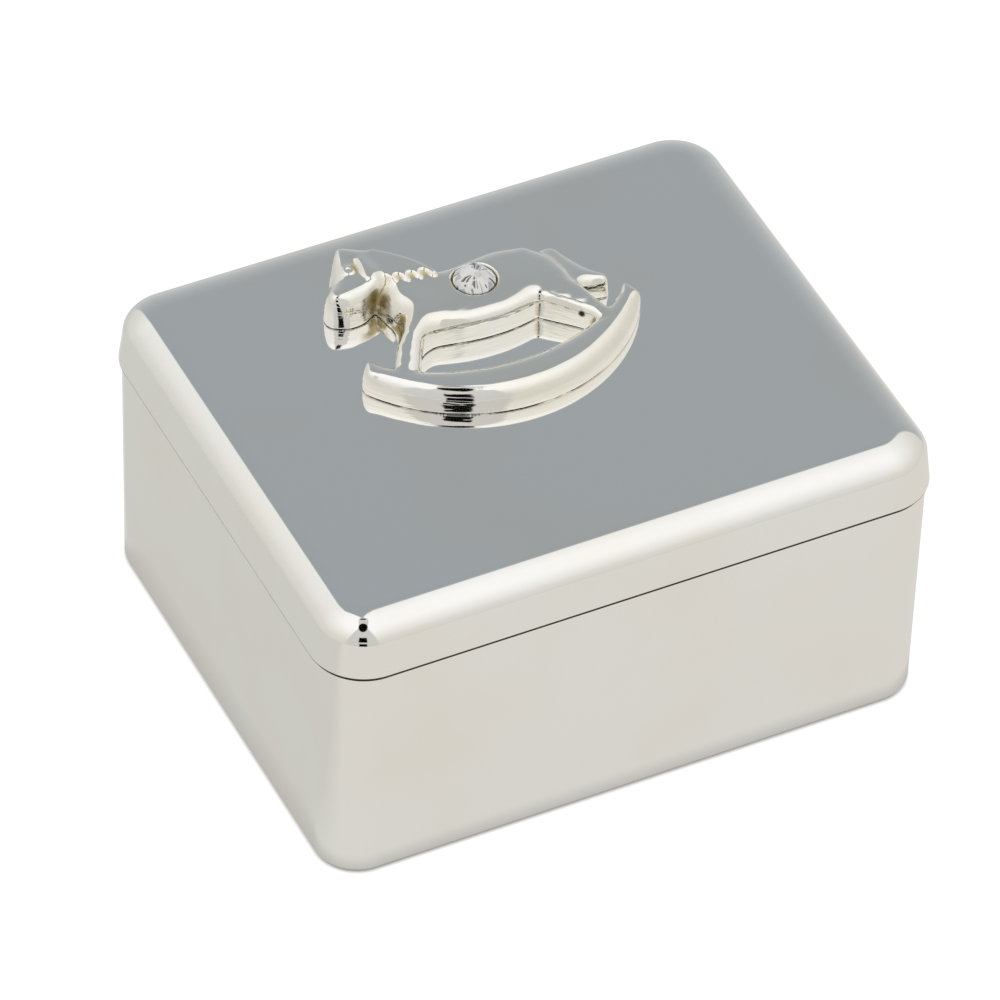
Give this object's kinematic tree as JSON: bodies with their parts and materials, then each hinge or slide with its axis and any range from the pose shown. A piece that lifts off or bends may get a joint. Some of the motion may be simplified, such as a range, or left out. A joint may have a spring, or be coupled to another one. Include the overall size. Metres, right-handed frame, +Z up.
{
  "type": "keepsake box",
  "caption": "Small silver-plated keepsake box with rounded corners, a hinged lid that bears a rocking-horse relief with a crystal, and a velvet lining, for a baby's lock of hair.",
  "frame": {"origin": "centre of the box's plan, on the underside of the base felt", "axes": "+X along the long front edge to the right, +Y to the hinge at the back, +Z up"},
  "size_m": [0.06, 0.0492, 0.0334],
  "materials": {
    "silver_plate": "bright polished silver plate on a zinc casting",
    "crystal": "clear cut crystal with a foiled flat back",
    "steel": "drawn steel wire",
    "velvet": "short-pile dark blue velvet",
    "felt": "thin pressed felt"
  },
  "bodies": {
    "box": {"box_body": "silver_plate", "hinge_pin": "steel", "base_felt": "felt", "lining_floor_pad": "velvet", "lining_panel_front": "velvet", "lining_panel_back": "velvet", "lining_panel_left": "velvet", "lining_panel_right": "velvet"},
    "lid": {"lid": "silver_plate", "rocking_horse": "silver_plate", "crystal": "crystal", "lid_lining_pad": "velvet"}
  },
  "joints": [
    {"name": "lid_hinge", "type": "hinge", "parent": "box", "child": "lid", "pos_m": [0, 0.023, 0.02428], "axis": [-1, 0, 0], "range_deg": [0, 100]}
  ]
}
